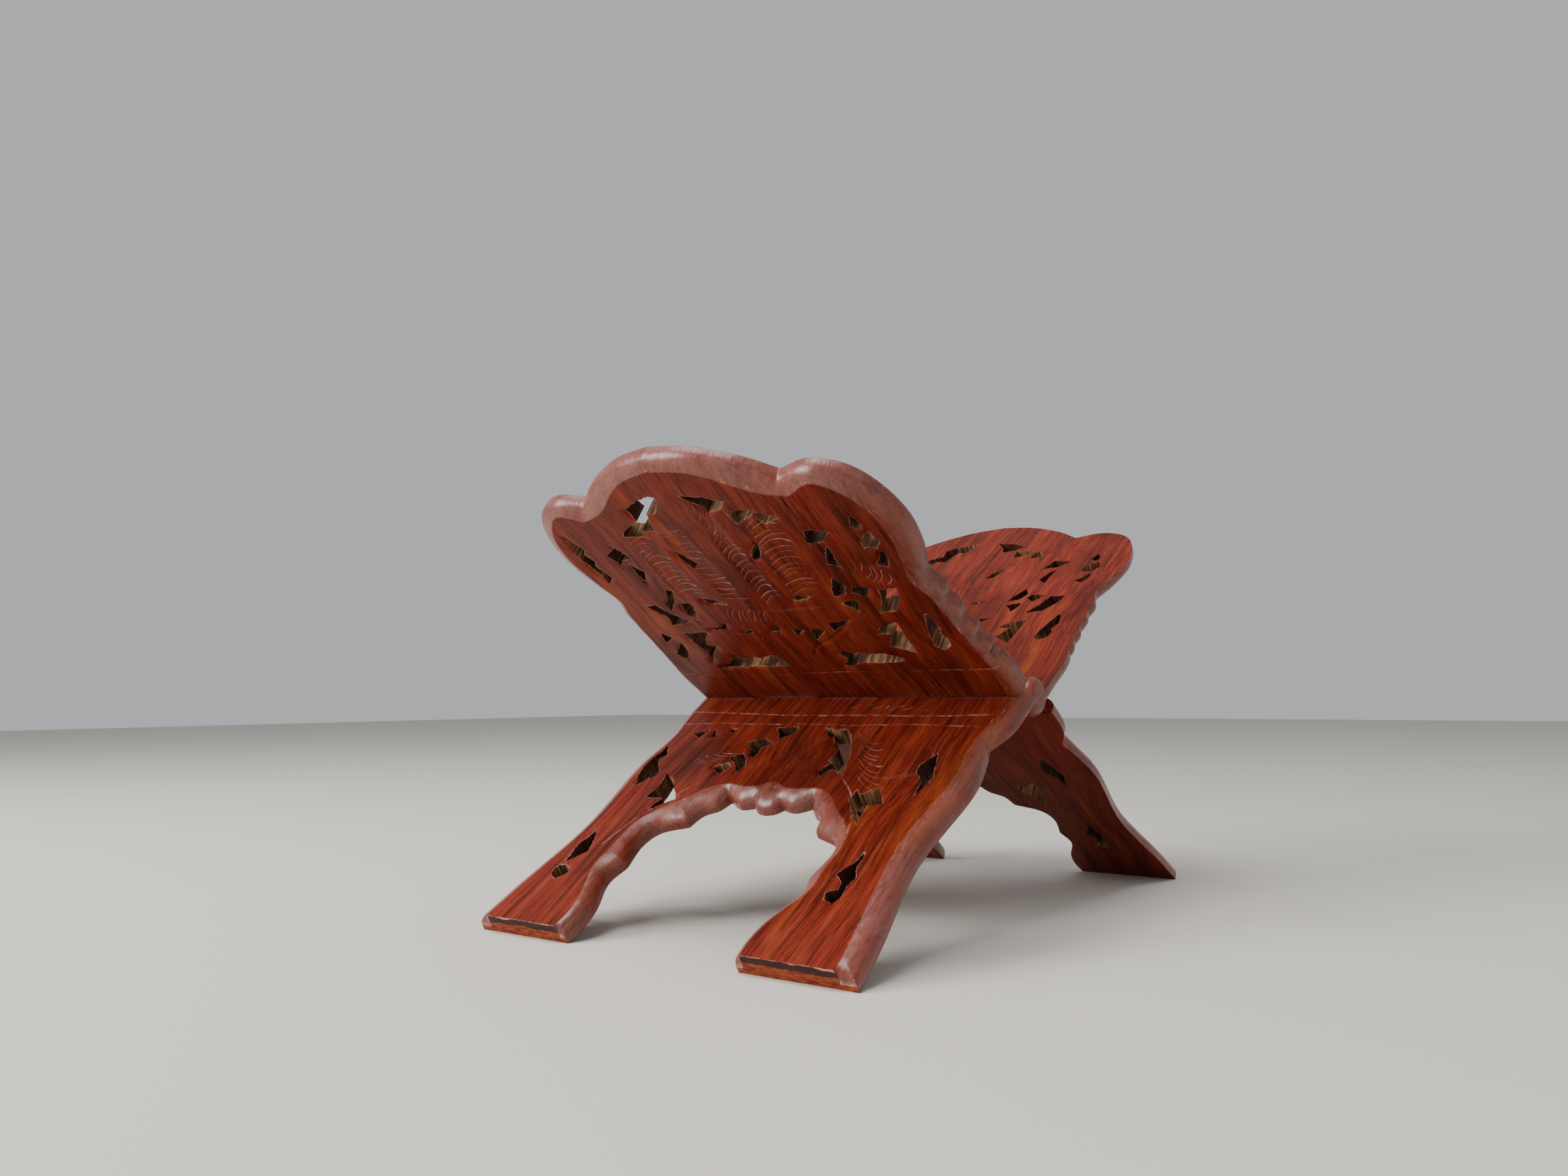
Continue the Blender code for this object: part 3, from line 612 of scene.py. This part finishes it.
def make_knuckles(name, own, side, sizes, materials):
    """The leaf's knuckles: circles about the hinge axis, swept along it and rounded at the plank's ends.

    A ring's radius is the knuckle's, less a quarter circle over the last few millimetres of an
    outer end and a fine break of the edge at an inner one.
    """
    radius = BOARD - sizes.knuckle_relief
    ring = np.arange(KNUCKLE_SIDES)
    turns = 2 * pi * ring / KNUCKLE_SIDES
    bend = np.linspace(0, pi / 2, 9)
    along, across = 1 - np.sin(bend), 1 - np.cos(bend)
    points, faces = [], []
    for index in own:
        start, end = knuckle_spans()[index]
        first_round = sizes.knuckle_round if index == 0 else KNUCKLE_EDGE_BREAK
        last_round = sizes.knuckle_round if index == KNUCKLE_COUNT - 1 else KNUCKLE_EDGE_BREAK
        middle = np.linspace(start, end, 40)[4:-4]
        s = np.concatenate((start + first_round * along, middle, end - last_round * along[::-1]))
        r = radius - np.concatenate((first_round * across, 0 * middle, last_round * across[::-1]))
        order = np.argsort(s, kind='stable')
        s, r = s[order], r[order]
        rings = np.stack((np.outer(s, np.ones(KNUCKLE_SIDES)), np.outer(r, np.cos(turns)),
                          np.outer(r, np.sin(turns))), axis=-1)
        base = sum(len(p) for p in points)
        level = np.arange(len(s) - 1)[:, None] * KNUCKLE_SIDES
        a, b = level + ring, level + np.roll(ring, -1)
        above, beside = a + KNUCKLE_SIDES, b + KNUCKLE_SIDES
        wall = np.vstack([np.column_stack((x.ravel(), y.ravel(), z.ravel()))
                          for x, y, z in ((a, above, b), (b, above, beside))])
        first_cap = len(s) * KNUCKLE_SIDES
        first = np.column_stack((a[0], b[0], np.full(KNUCKLE_SIDES, first_cap)))
        last = np.column_stack((above[-1], np.full(KNUCKLE_SIDES, first_cap + 1), beside[-1]))
        points.append(np.vstack((rings.reshape(-1, 3), [(s[0], 0, 0), (s[-1], 0, 0)])))
        faces.append(np.vstack((wall, first, last)) + base)
    plank, faces = np.vstack(points), np.vstack(faces)
    ends = np.clip((np.abs(plank[:, 0]) - HALF_WIDTH + sizes.knuckle_round) / sizes.knuckle_round, 0, 1)
    none = np.zeros(len(plank))
    # the rounded outer ends take the wear and the painted sheen
    attributes = {"plank": plank, "wear_and_sheen": ends, "cut": none, "rim": none}
    if side > 0:
        faces = faces[:, ::-1]
    return write_mesh(name, place(plank, side), faces, materials, np.zeros(len(faces)), attributes, 42)


def node(tree, kind, inputs=None, **settings):
    """Add a shader node, set it up, and give each named input a value or a link."""
    made = tree.nodes.new(kind)
    for key, value in settings.items():
        setattr(made, key, value)
    for key, value in (inputs or {}).items():
        if isinstance(value, bpy.types.NodeSocket):
            tree.links.new(value, made.inputs[key])
        else:
            made.inputs[key].default_value = value
    return made


def grain(tree, plank, across, along, detail=5.0, rough=0.6, warp=0.0):
    """Noise stretched along the plank: its size across and along the grain is in millimetres."""
    scaled = node(tree, "ShaderNodeVectorMath", {0: plank, 1: (1 / across, 1 / along, 1 / across)},
                  operation='MULTIPLY').outputs[0]
    return node(tree, "ShaderNodeTexNoise", {"Vector": scaled, "Scale": 1.0, "Detail": detail,
                                             "Roughness": rough, "Distortion": warp}).outputs["Fac"]


def ramp(tree, value, low, high):
    """A value spread from 0 to 1 between two limits, with soft ends."""
    return node(tree, "ShaderNodeMapRange", {"Value": value, "From Min": low, "From Max": high},
                interpolation_type='SMOOTHSTEP').outputs[0]


def times(tree, a, b):
    """The product of two values."""
    return node(tree, "ShaderNodeMath", {0: a, 1: b}, operation='MULTIPLY').outputs[0]


def mixed(tree, share, a, b):
    """Two colours mixed by a share."""
    made = node(tree, "ShaderNodeMix", {0: share}, data_type='RGBA')
    for socket, value in ((made.inputs[6], a), (made.inputs[7], b)):
        if isinstance(value, bpy.types.NodeSocket):
            tree.links.new(value, socket)
        else:
            socket.default_value = (*value, 1)
    return made.outputs[2]


def new_material(name):
    """An empty node material with its shader and output."""
    material = bpy.data.materials.new(name)
    material.use_nodes = True
    tree = material.node_tree
    tree.nodes.clear()
    shader = node(tree, "ShaderNodeBsdfPrincipled")
    node(tree, "ShaderNodeOutputMaterial", {"Surface": shader.outputs[0]})
    return material, tree, shader


def stained_rosewood(name, colours, warmth):
    """Stained and waxed Indian rosewood: dark and amber figure along the plank, open pores as short
    dark dashes, worn edges in a chalky mauve that is partly a painted sheen, and pale scratches where carving
    went through the stain."""
    material, tree, shader = new_material(name)
    plank = node(tree, "ShaderNodeAttribute", attribute_name="plank").outputs["Vector"]
    wear_and_sheen = node(tree, "ShaderNodeAttribute", attribute_name="wear_and_sheen").outputs["Fac"]
    cut = node(tree, "ShaderNodeAttribute", attribute_name="cut").outputs["Fac"]
    rim = node(tree, "ShaderNodeAttribute", attribute_name="rim").outputs["Fac"]
    along = node(tree, "ShaderNodeSeparateXYZ", {0: plank}).outputs[1]
    along = node(tree, "ShaderNodeMath", {0: along}, operation='ABSOLUTE').outputs[0]
    sway = node(tree, "ShaderNodeTexNoise", {"Vector": plank, "Scale": 0.011, "Detail": 1.0}).outputs["Color"]
    sway = node(tree, "ShaderNodeVectorMath", {0: sway, 1: (0.5, 0.5, 0.5)}, operation='SUBTRACT').outputs[0]
    sway = node(tree, "ShaderNodeVectorMath", {0: sway, 1: (16, 0, 10)}, operation='MULTIPLY').outputs[0]
    plank = node(tree, "ShaderNodeVectorMath", {0: plank, 1: sway}, operation='ADD').outputs[0]
    # figure bands 9 mm wide, rings 2.2 mm and fibres 0.7 mm wide, pores 0.35 mm wide and 5 mm long
    bands = grain(tree, plank, 9, 160, 3, 0.55, 0.2)
    rings = grain(tree, plank, 2.2, 90, 4, 0.6, 0.1)
    fibres = grain(tree, plank, 0.6, 28, 3, 0.6)
    pores = ramp(tree, grain(tree, plank, 0.45, 6, 1, 0.5), 0.62, 0.72)
    blotch = grain(tree, plank, 22, 60, 3, 0.6)
    body = mixed(tree, ramp(tree, rings, 0.28, 0.6), colours.stain_dark, colours.stain_mid)
    body = mixed(tree, times(tree, ramp(tree, fibres, 0.4, 0.75), 0.55), body, colours.stain_light)
    amber = times(tree, times(tree, ramp(tree, bands, 0.5, 0.72), ramp(tree, blotch, 0.4, 0.7)), warmth)
    body = mixed(tree, amber, body, colours.heart)
    body = mixed(tree, times(tree, ramp(tree, bands, 0.45, 0.3), 0.5), body, colours.stain_dark)
    body = mixed(tree, times(tree, pores, 0.55), body, colours.stain_dark)
    # paler rubbed streaks 4 mm wide and darker clouds 30 mm across
    paler = times(tree, ramp(tree, grain(tree, plank, 4, 70, 4, 0.65), 0.5, 0.68), 0.4)
    body = mixed(tree, paler, body, colours.stain_light)
    clouds = ramp(tree, grain(tree, plank, 30, 55, 3, 0.5), 0.5, 0.36)
    body = mixed(tree, times(tree, clouds, 0.45), body, colours.stain_dark)
    # the vein strokes: thin pale lines at each whole number of the rows' count, 0.1 of a step wide
    vein = node(tree, "ShaderNodeAttribute", attribute_name="vein").outputs["Fac"]
    veined = node(tree, "ShaderNodeAttribute", attribute_name="veined").outputs["Fac"]
    beside = node(tree, "ShaderNodeMath", {0: vein, 1: 0.5}, operation='PINGPONG').outputs[0]
    stroke = times(tree, ramp(tree, beside, 0.075, 0.02), ramp(tree, veined, 0.05, 0.5))
    shade = times(tree, ramp(tree, beside, 0.2, 0.05), ramp(tree, veined, 0.05, 0.5))
    body = mixed(tree, times(tree, shade, 0.3), body, colours.stain_dark)
    faint = ramp(tree, grain(tree, plank, 7, 7, 2, 0.5), 0.3, 0.62)
    body = mixed(tree, times(tree, times(tree, stroke, faint), 0.5), body, colours.scratch)
    # the rounded edges: worn to a chalky mauve that is partly a painted sheen, streaked along the plank, with
    # scuffs along the crease
    streaks = grain(tree, plank, 1.6, 30, 4, 0.65)
    band = times(tree, ramp(tree, wear_and_sheen, 0.01, 0.05), ramp(tree, streaks, 0.2, 0.75))
    # hands take hold of the arches and feet: the wear, with the painted sheen laid on it, sets in between 20
    # and 100 mm from the hinge
    patchy = ramp(tree, grain(tree, plank, 12, 26, 4, 0.6), 0.3, 0.6)
    worn_sheen_reach = times(tree, patchy, ramp(tree, along, 20, 100))
    body = mixed(tree, times(tree, band, 0.35), body, colours.heart)
    # wear and painted sheen: the pale mauve laid over the rounded edges
    body = mixed(tree, times(tree, times(tree, band, worn_sheen_reach), 0.8), body, colours.wear_and_sheen)
    body = mixed(tree, times(tree, times(tree, band, pores), 0.5), body, colours.stain_dark)
    scuffs = ramp(tree, grain(tree, plank, 0.8, 7, 3, 0.6, 0.8), 0.6, 0.7)
    crease = times(tree, ramp(tree, wear_and_sheen, 0.0, 0.06), ramp(tree, wear_and_sheen, 0.5, 0.06))
    body = mixed(tree, times(tree, times(tree, scuffs, crease), 0.6), body, colours.scratch)
    lines = node(tree, "ShaderNodeMath", {0: times(tree, ramp(tree, cut, 0.25, 0.9), 0.5),
                                          1: times(tree, ramp(tree, rim, 0.45, 0.95), 0.5)},
                 operation='MAXIMUM').outputs[0]
    broken = ramp(tree, grain(tree, plank, 3.5, 5.0, 3, 0.6), 0.36, 0.62)
    body = mixed(tree, times(tree, lines, broken), body, colours.scratch)
    tree.links.new(body, shader.inputs["Base Color"])
    gloss = node(tree, "ShaderNodeMapRange", {"Value": blotch, "To Min": 0.3, "To Max": 0.44}).outputs[0]
    tree.links.new(gloss, shader.inputs["Roughness"])
    # the faces are dry, the handled edges polished
    polish = ramp(tree, wear_and_sheen, 0.0, 0.1)
    sheen = node(tree, "ShaderNodeMapRange", {"Value": polish, "To Min": 0.09, "To Max": 0.35}).outputs[0]
    tree.links.new(sheen, shader.inputs["Specular IOR Level"])
    tree.links.new(times(tree, polish, 0.45), shader.inputs["Coat Weight"])
    shader.inputs["Coat Roughness"].default_value = 0.3
    relief = node(tree, "ShaderNodeMath", {0: times(tree, fibres, 0.5), 1: times(tree, pores, -0.6)},
                  operation='ADD').outputs[0]
    relief = node(tree, "ShaderNodeMath", {0: shade, 1: -1.0, 2: relief}, operation='MULTIPLY_ADD').outputs[0]
    bump = node(tree, "ShaderNodeBump", {"Height": relief, "Strength": 0.5, "Distance": 0.0002}).outputs[0]
    # knife facets about 7 mm across on the rounded edges
    facets = node(tree, "ShaderNodeTexVoronoi", {"Vector": plank, "Scale": 0.14}).outputs["Distance"]
    bump = node(tree, "ShaderNodeBump", {"Height": times(tree, facets, polish), "Strength": 0.3,
                                         "Distance": 0.0015, "Normal": bump}).outputs[0]
    tree.links.new(bump, shader.inputs["Normal"])
    return material


def bare_rosewood(name, colours):
    """Sawn rosewood that the stain hardly reached: fibres end on, ridged across by the fret saw."""
    material, tree, shader = new_material(name)
    plank = node(tree, "ShaderNodeAttribute", attribute_name="plank").outputs["Vector"]
    # saw ridges about 1.1 mm apart, running through the board
    scaled = node(tree, "ShaderNodeVectorMath", {0: plank, 1: (0.9, 0.9, 0.06)},
                  operation='MULTIPLY').outputs[0]
    ridges = node(tree, "ShaderNodeTexNoise", {"Vector": scaled, "Scale": 1.0, "Detail": 3.0}).outputs["Fac"]
    patches = node(tree, "ShaderNodeTexNoise", {"Vector": plank, "Scale": 0.05, "Detail": 3.0}).outputs["Fac"]
    body = mixed(tree, ramp(tree, ridges, 0.3, 0.72), colours.bare_dark, colours.bare)
    body = mixed(tree, times(tree, ramp(tree, patches, 0.4, 0.56), 0.88), body, colours.stain_dark)
    tree.links.new(body, shader.inputs["Base Color"])
    shader.inputs["Roughness"].default_value = 0.75
    shader.inputs["Specular IOR Level"].default_value = 0.2
    bump = node(tree, "ShaderNodeBump", {"Height": ridges, "Strength": 0.7, "Distance": 0.0004}).outputs[0]
    tree.links.new(bump, shader.inputs["Normal"])
    return material


def end_grain(name, colours):
    """The feet's sawn ends: red-orange end grain, burnt dark towards the outer face, chipped pale there."""
    material, tree, shader = new_material(name)
    plank = node(tree, "ShaderNodeAttribute", attribute_name="plank").outputs["Vector"]
    depth = node(tree, "ShaderNodeSeparateXYZ", {0: plank}).outputs[2]
    depth = node(tree, "ShaderNodeMath", {0: depth}, operation='ABSOLUTE').outputs[0]
    uneven = node(tree, "ShaderNodeTexNoise", {"Vector": plank, "Scale": 0.12, "Detail": 4.0}).outputs["Fac"]
    level = node(tree, "ShaderNodeMath", {0: uneven, 1: 4.5, 2: depth}, operation='MULTIPLY_ADD').outputs[0]
    # rays about 1.5 mm apart
    scaled = node(tree, "ShaderNodeVectorMath", {0: plank, 1: (0.35, 1, 1.2)},
                  operation='MULTIPLY').outputs[0]
    rays = node(tree, "ShaderNodeTexNoise", {"Vector": scaled, "Scale": 0.7, "Detail": 4.0}).outputs["Fac"]
    body = mixed(tree, ramp(tree, rays, 0.35, 0.65), colours.stain_mid, colours.heart)
    body = mixed(tree, times(tree, ramp(tree, level, 7.6, 8.4), 0.9), body, colours.burnt)
    body = mixed(tree, times(tree, ramp(tree, level, 11.0, 11.4), 0.8), body, colours.scratch)
    tree.links.new(body, shader.inputs["Base Color"])
    shader.inputs["Roughness"].default_value = 0.6
    shader.inputs["Specular IOR Level"].default_value = 0.25
    return material


FLAP = {"edge": FLAP_EDGE, "openings": FLAP_OPENINGS, "strokes": FLAP_STROKES, "grooves": FLAP_GROOVES,
        "hollows": FLAP_HOLLOWS}
LEG = {"edge": LEG_EDGE, "openings": LEG_OPENINGS, "strokes": LEG_STROKES, "grooves": LEG_GROOVES,
       "hollows": LEG_HOLLOWS}
# A leaf: its body, its CAD node, its side of the hinge, its knuckles and how amber its figure is
LEAVES = {
    "front": ("front_leaf", "front_flap_leaf", -1, range(1, KNUCKLE_COUNT, 2), 0.6),
    "back": ("back_leaf", "back_flap_leaf", 1, range(0, KNUCKLE_COUNT, 2), 0.8),
}


def leaf_materials(leaf, colours):
    """The stained and the bare wood of one leaf, made once."""
    names = [leaf + kind for kind in ("_stained_rosewood", "_bare_rosewood", "_end_grain")]
    if names[0] in bpy.data.materials:
        return [bpy.data.materials[name] for name in names]
    return [stained_rosewood(names[0], colours, LEAVES[leaf][4]), bare_rosewood(names[1], colours),
            end_grain(names[2], colours)]


def settle(piece, leaf):
    """Put a piece under the body that carries it and hide the CAD node it stands for."""
    body, cad_node, _, _, _ = LEAVES[leaf]
    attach(piece, body)
    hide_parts(cad_node)


class BOOKSTAND_OT_flaps(bpy.types.Operator):
    """Make the two flaps that hold the book"""
    bl_idname = "bookstand.flaps"
    bl_label = "Flaps"

    def execute(self, context):
        sizes, colours = context.scene.book_stand_sizes, context.scene.book_stand_colours
        fields = board_fields(FLAP, sizes)
        for leaf, (_, _, side, own, _) in LEAVES.items():
            piece = make_board(leaf + "_flap", fields, own, 1, side, sizes, leaf_materials(leaf, colours))
            settle(piece, leaf)
        return {'FINISHED'}


class BOOKSTAND_OT_legs(bpy.types.Operator):
    """Make the arched leg of each leaf, on the far side of the hinge from its flap"""
    bl_idname = "bookstand.legs"
    bl_label = "Legs"

    def execute(self, context):
        sizes, colours = context.scene.book_stand_sizes, context.scene.book_stand_colours
        fields = board_fields(LEG, sizes)
        for leaf, (_, _, side, own, _) in LEAVES.items():
            piece = make_board(leaf + "_leaf_leg", fields, own, -1, side, sizes,
                               leaf_materials(leaf, colours))
            settle(piece, leaf)
        return {'FINISHED'}


class BOOKSTAND_OT_knuckles(bpy.types.Operator):
    """Make the round knuckles that link the leaves along the hinge axis"""
    bl_idname = "bookstand.knuckles"
    bl_label = "Knuckles"

    def execute(self, context):
        sizes, colours = context.scene.book_stand_sizes, context.scene.book_stand_colours
        for leaf, (_, _, side, own, _) in LEAVES.items():
            piece = make_knuckles(leaf + "_knuckles", own, side, sizes, leaf_materials(leaf, colours))
            settle(piece, leaf)
        return {'FINISHED'}


# The eye's place beside the hinge axis in metres, where it looks in degrees, and its lens
EYE = (0.3383, -0.5144, 0.0023)
EYE_HEADING = 37.06
EYE_PITCH = 4.94
EYE_ROLL = -0.38
EYE_LENS = 27.97


class BOOKSTAND_OT_stage(bpy.types.Operator):
    """Make the floor, the soft lights and the camera"""
    bl_idname = "bookstand.stage"
    bl_label = "Stage"

    def execute(self, context):
        colours = context.scene.book_stand_colours
        material, _, shader = new_material("matt_floor")
        shader.inputs["Base Color"].default_value = (*colours.floor, 1)
        shader.inputs["Roughness"].default_value = 0.9
        mesh = bpy.data.meshes.new("floor")
        mesh.from_pydata([(-4, -4, 0), (4, -4, 0), (4, 4, 0), (-4, 4, 0)], [], [(0, 1, 2, 3)])
        mesh.materials.append(material)
        floor = bpy.data.objects.new("floor", mesh)
        context.scene.collection.objects.link(floor)
        self.light(context, "window_light", (-1.0, -1.45, 0.85), 1.0, 46)
        self.light(context, "side_light", (1.7, -0.6, 0.9), 1.0, 2.5)
        self.light(context, "top_light", (-0.2, -0.6, 1.9), 1.0, 32)
        world = bpy.data.worlds.new("room")
        world.use_nodes = True
        world.node_tree.nodes["Background"].inputs["Color"].default_value = (0.95, 0.97, 1.0, 1)
        world.node_tree.nodes["Background"].inputs["Strength"].default_value = 0.52
        context.scene.world = world
        lens = bpy.data.cameras.new("eye")
        lens.sensor_width = 36
        lens.lens = EYE_LENS
        camera = bpy.data.objects.new("eye", lens)
        camera.location = Vector(EYE) + Vector((0, 0, AXIS_HEIGHT * MM))
        heading = Euler((0, 0, radians(EYE_HEADING))).to_matrix()
        pitch = Euler((radians(90 + EYE_PITCH), 0, 0)).to_matrix()
        roll = Euler((0, 0, radians(EYE_ROLL))).to_matrix()
        camera.rotation_euler = (heading @ pitch @ roll).to_euler()
        context.scene.collection.objects.link(camera)
        context.scene.camera = camera
        return {'FINISHED'}

    @staticmethod
    def light(context, name, place_at, size, power):
        """A square soft light that looks at the hinge."""
        data = bpy.data.lights.new(name, 'AREA')
        data.size = size
        data.energy = power
        lamp = bpy.data.objects.new(name, data)
        lamp.location = place_at
        away = Vector(place_at) - Vector((0, 0, AXIS_HEIGHT * MM))
        lamp.rotation_euler = away.to_track_quat('Z', 'Y').to_euler()
        context.scene.collection.objects.link(lamp)


class BOOKSTAND_PT_panel(bpy.types.Panel):
    """Lists the stand's pieces and their settings"""
    bl_idname = "BOOKSTAND_PT_panel"
    bl_label = "Book Stand"
    bl_space_type = 'VIEW_3D'
    bl_region_type = 'UI'
    bl_category = "Book Stand"

    def draw(self, context):
        for kind in PIECE_OPERATORS:
            self.layout.operator(kind.bl_idname)
        for group in (context.scene.book_stand_sizes, context.scene.book_stand_colours):
            for key in group.__annotations__:
                self.layout.prop(group, key)


PIECE_OPERATORS = (BOOKSTAND_OT_flaps, BOOKSTAND_OT_legs, BOOKSTAND_OT_knuckles, BOOKSTAND_OT_stage)
CLASSES = (BookStandSizes, BookStandColours, *PIECE_OPERATORS, BOOKSTAND_PT_panel)


def register():
    """Add the classes and their settings to Blender."""
    for kind in CLASSES:
        bpy.utils.register_class(kind)
    bpy.types.Scene.book_stand_sizes = bpy.props.PointerProperty(type=BookStandSizes)
    bpy.types.Scene.book_stand_colours = bpy.props.PointerProperty(type=BookStandColours)


def unregister():
    """Take the classes and their settings out again."""
    del bpy.types.Scene.book_stand_sizes
    del bpy.types.Scene.book_stand_colours
    for kind in reversed(CLASSES):
        bpy.utils.unregister_class(kind)


def main():
    """Make the whole stand."""
    register()
    bpy.ops.bookstand.stage()
    bpy.ops.bookstand.flaps()
    bpy.ops.bookstand.legs()
    bpy.ops.bookstand.knuckles()


if __name__ == "__main__":
    main()
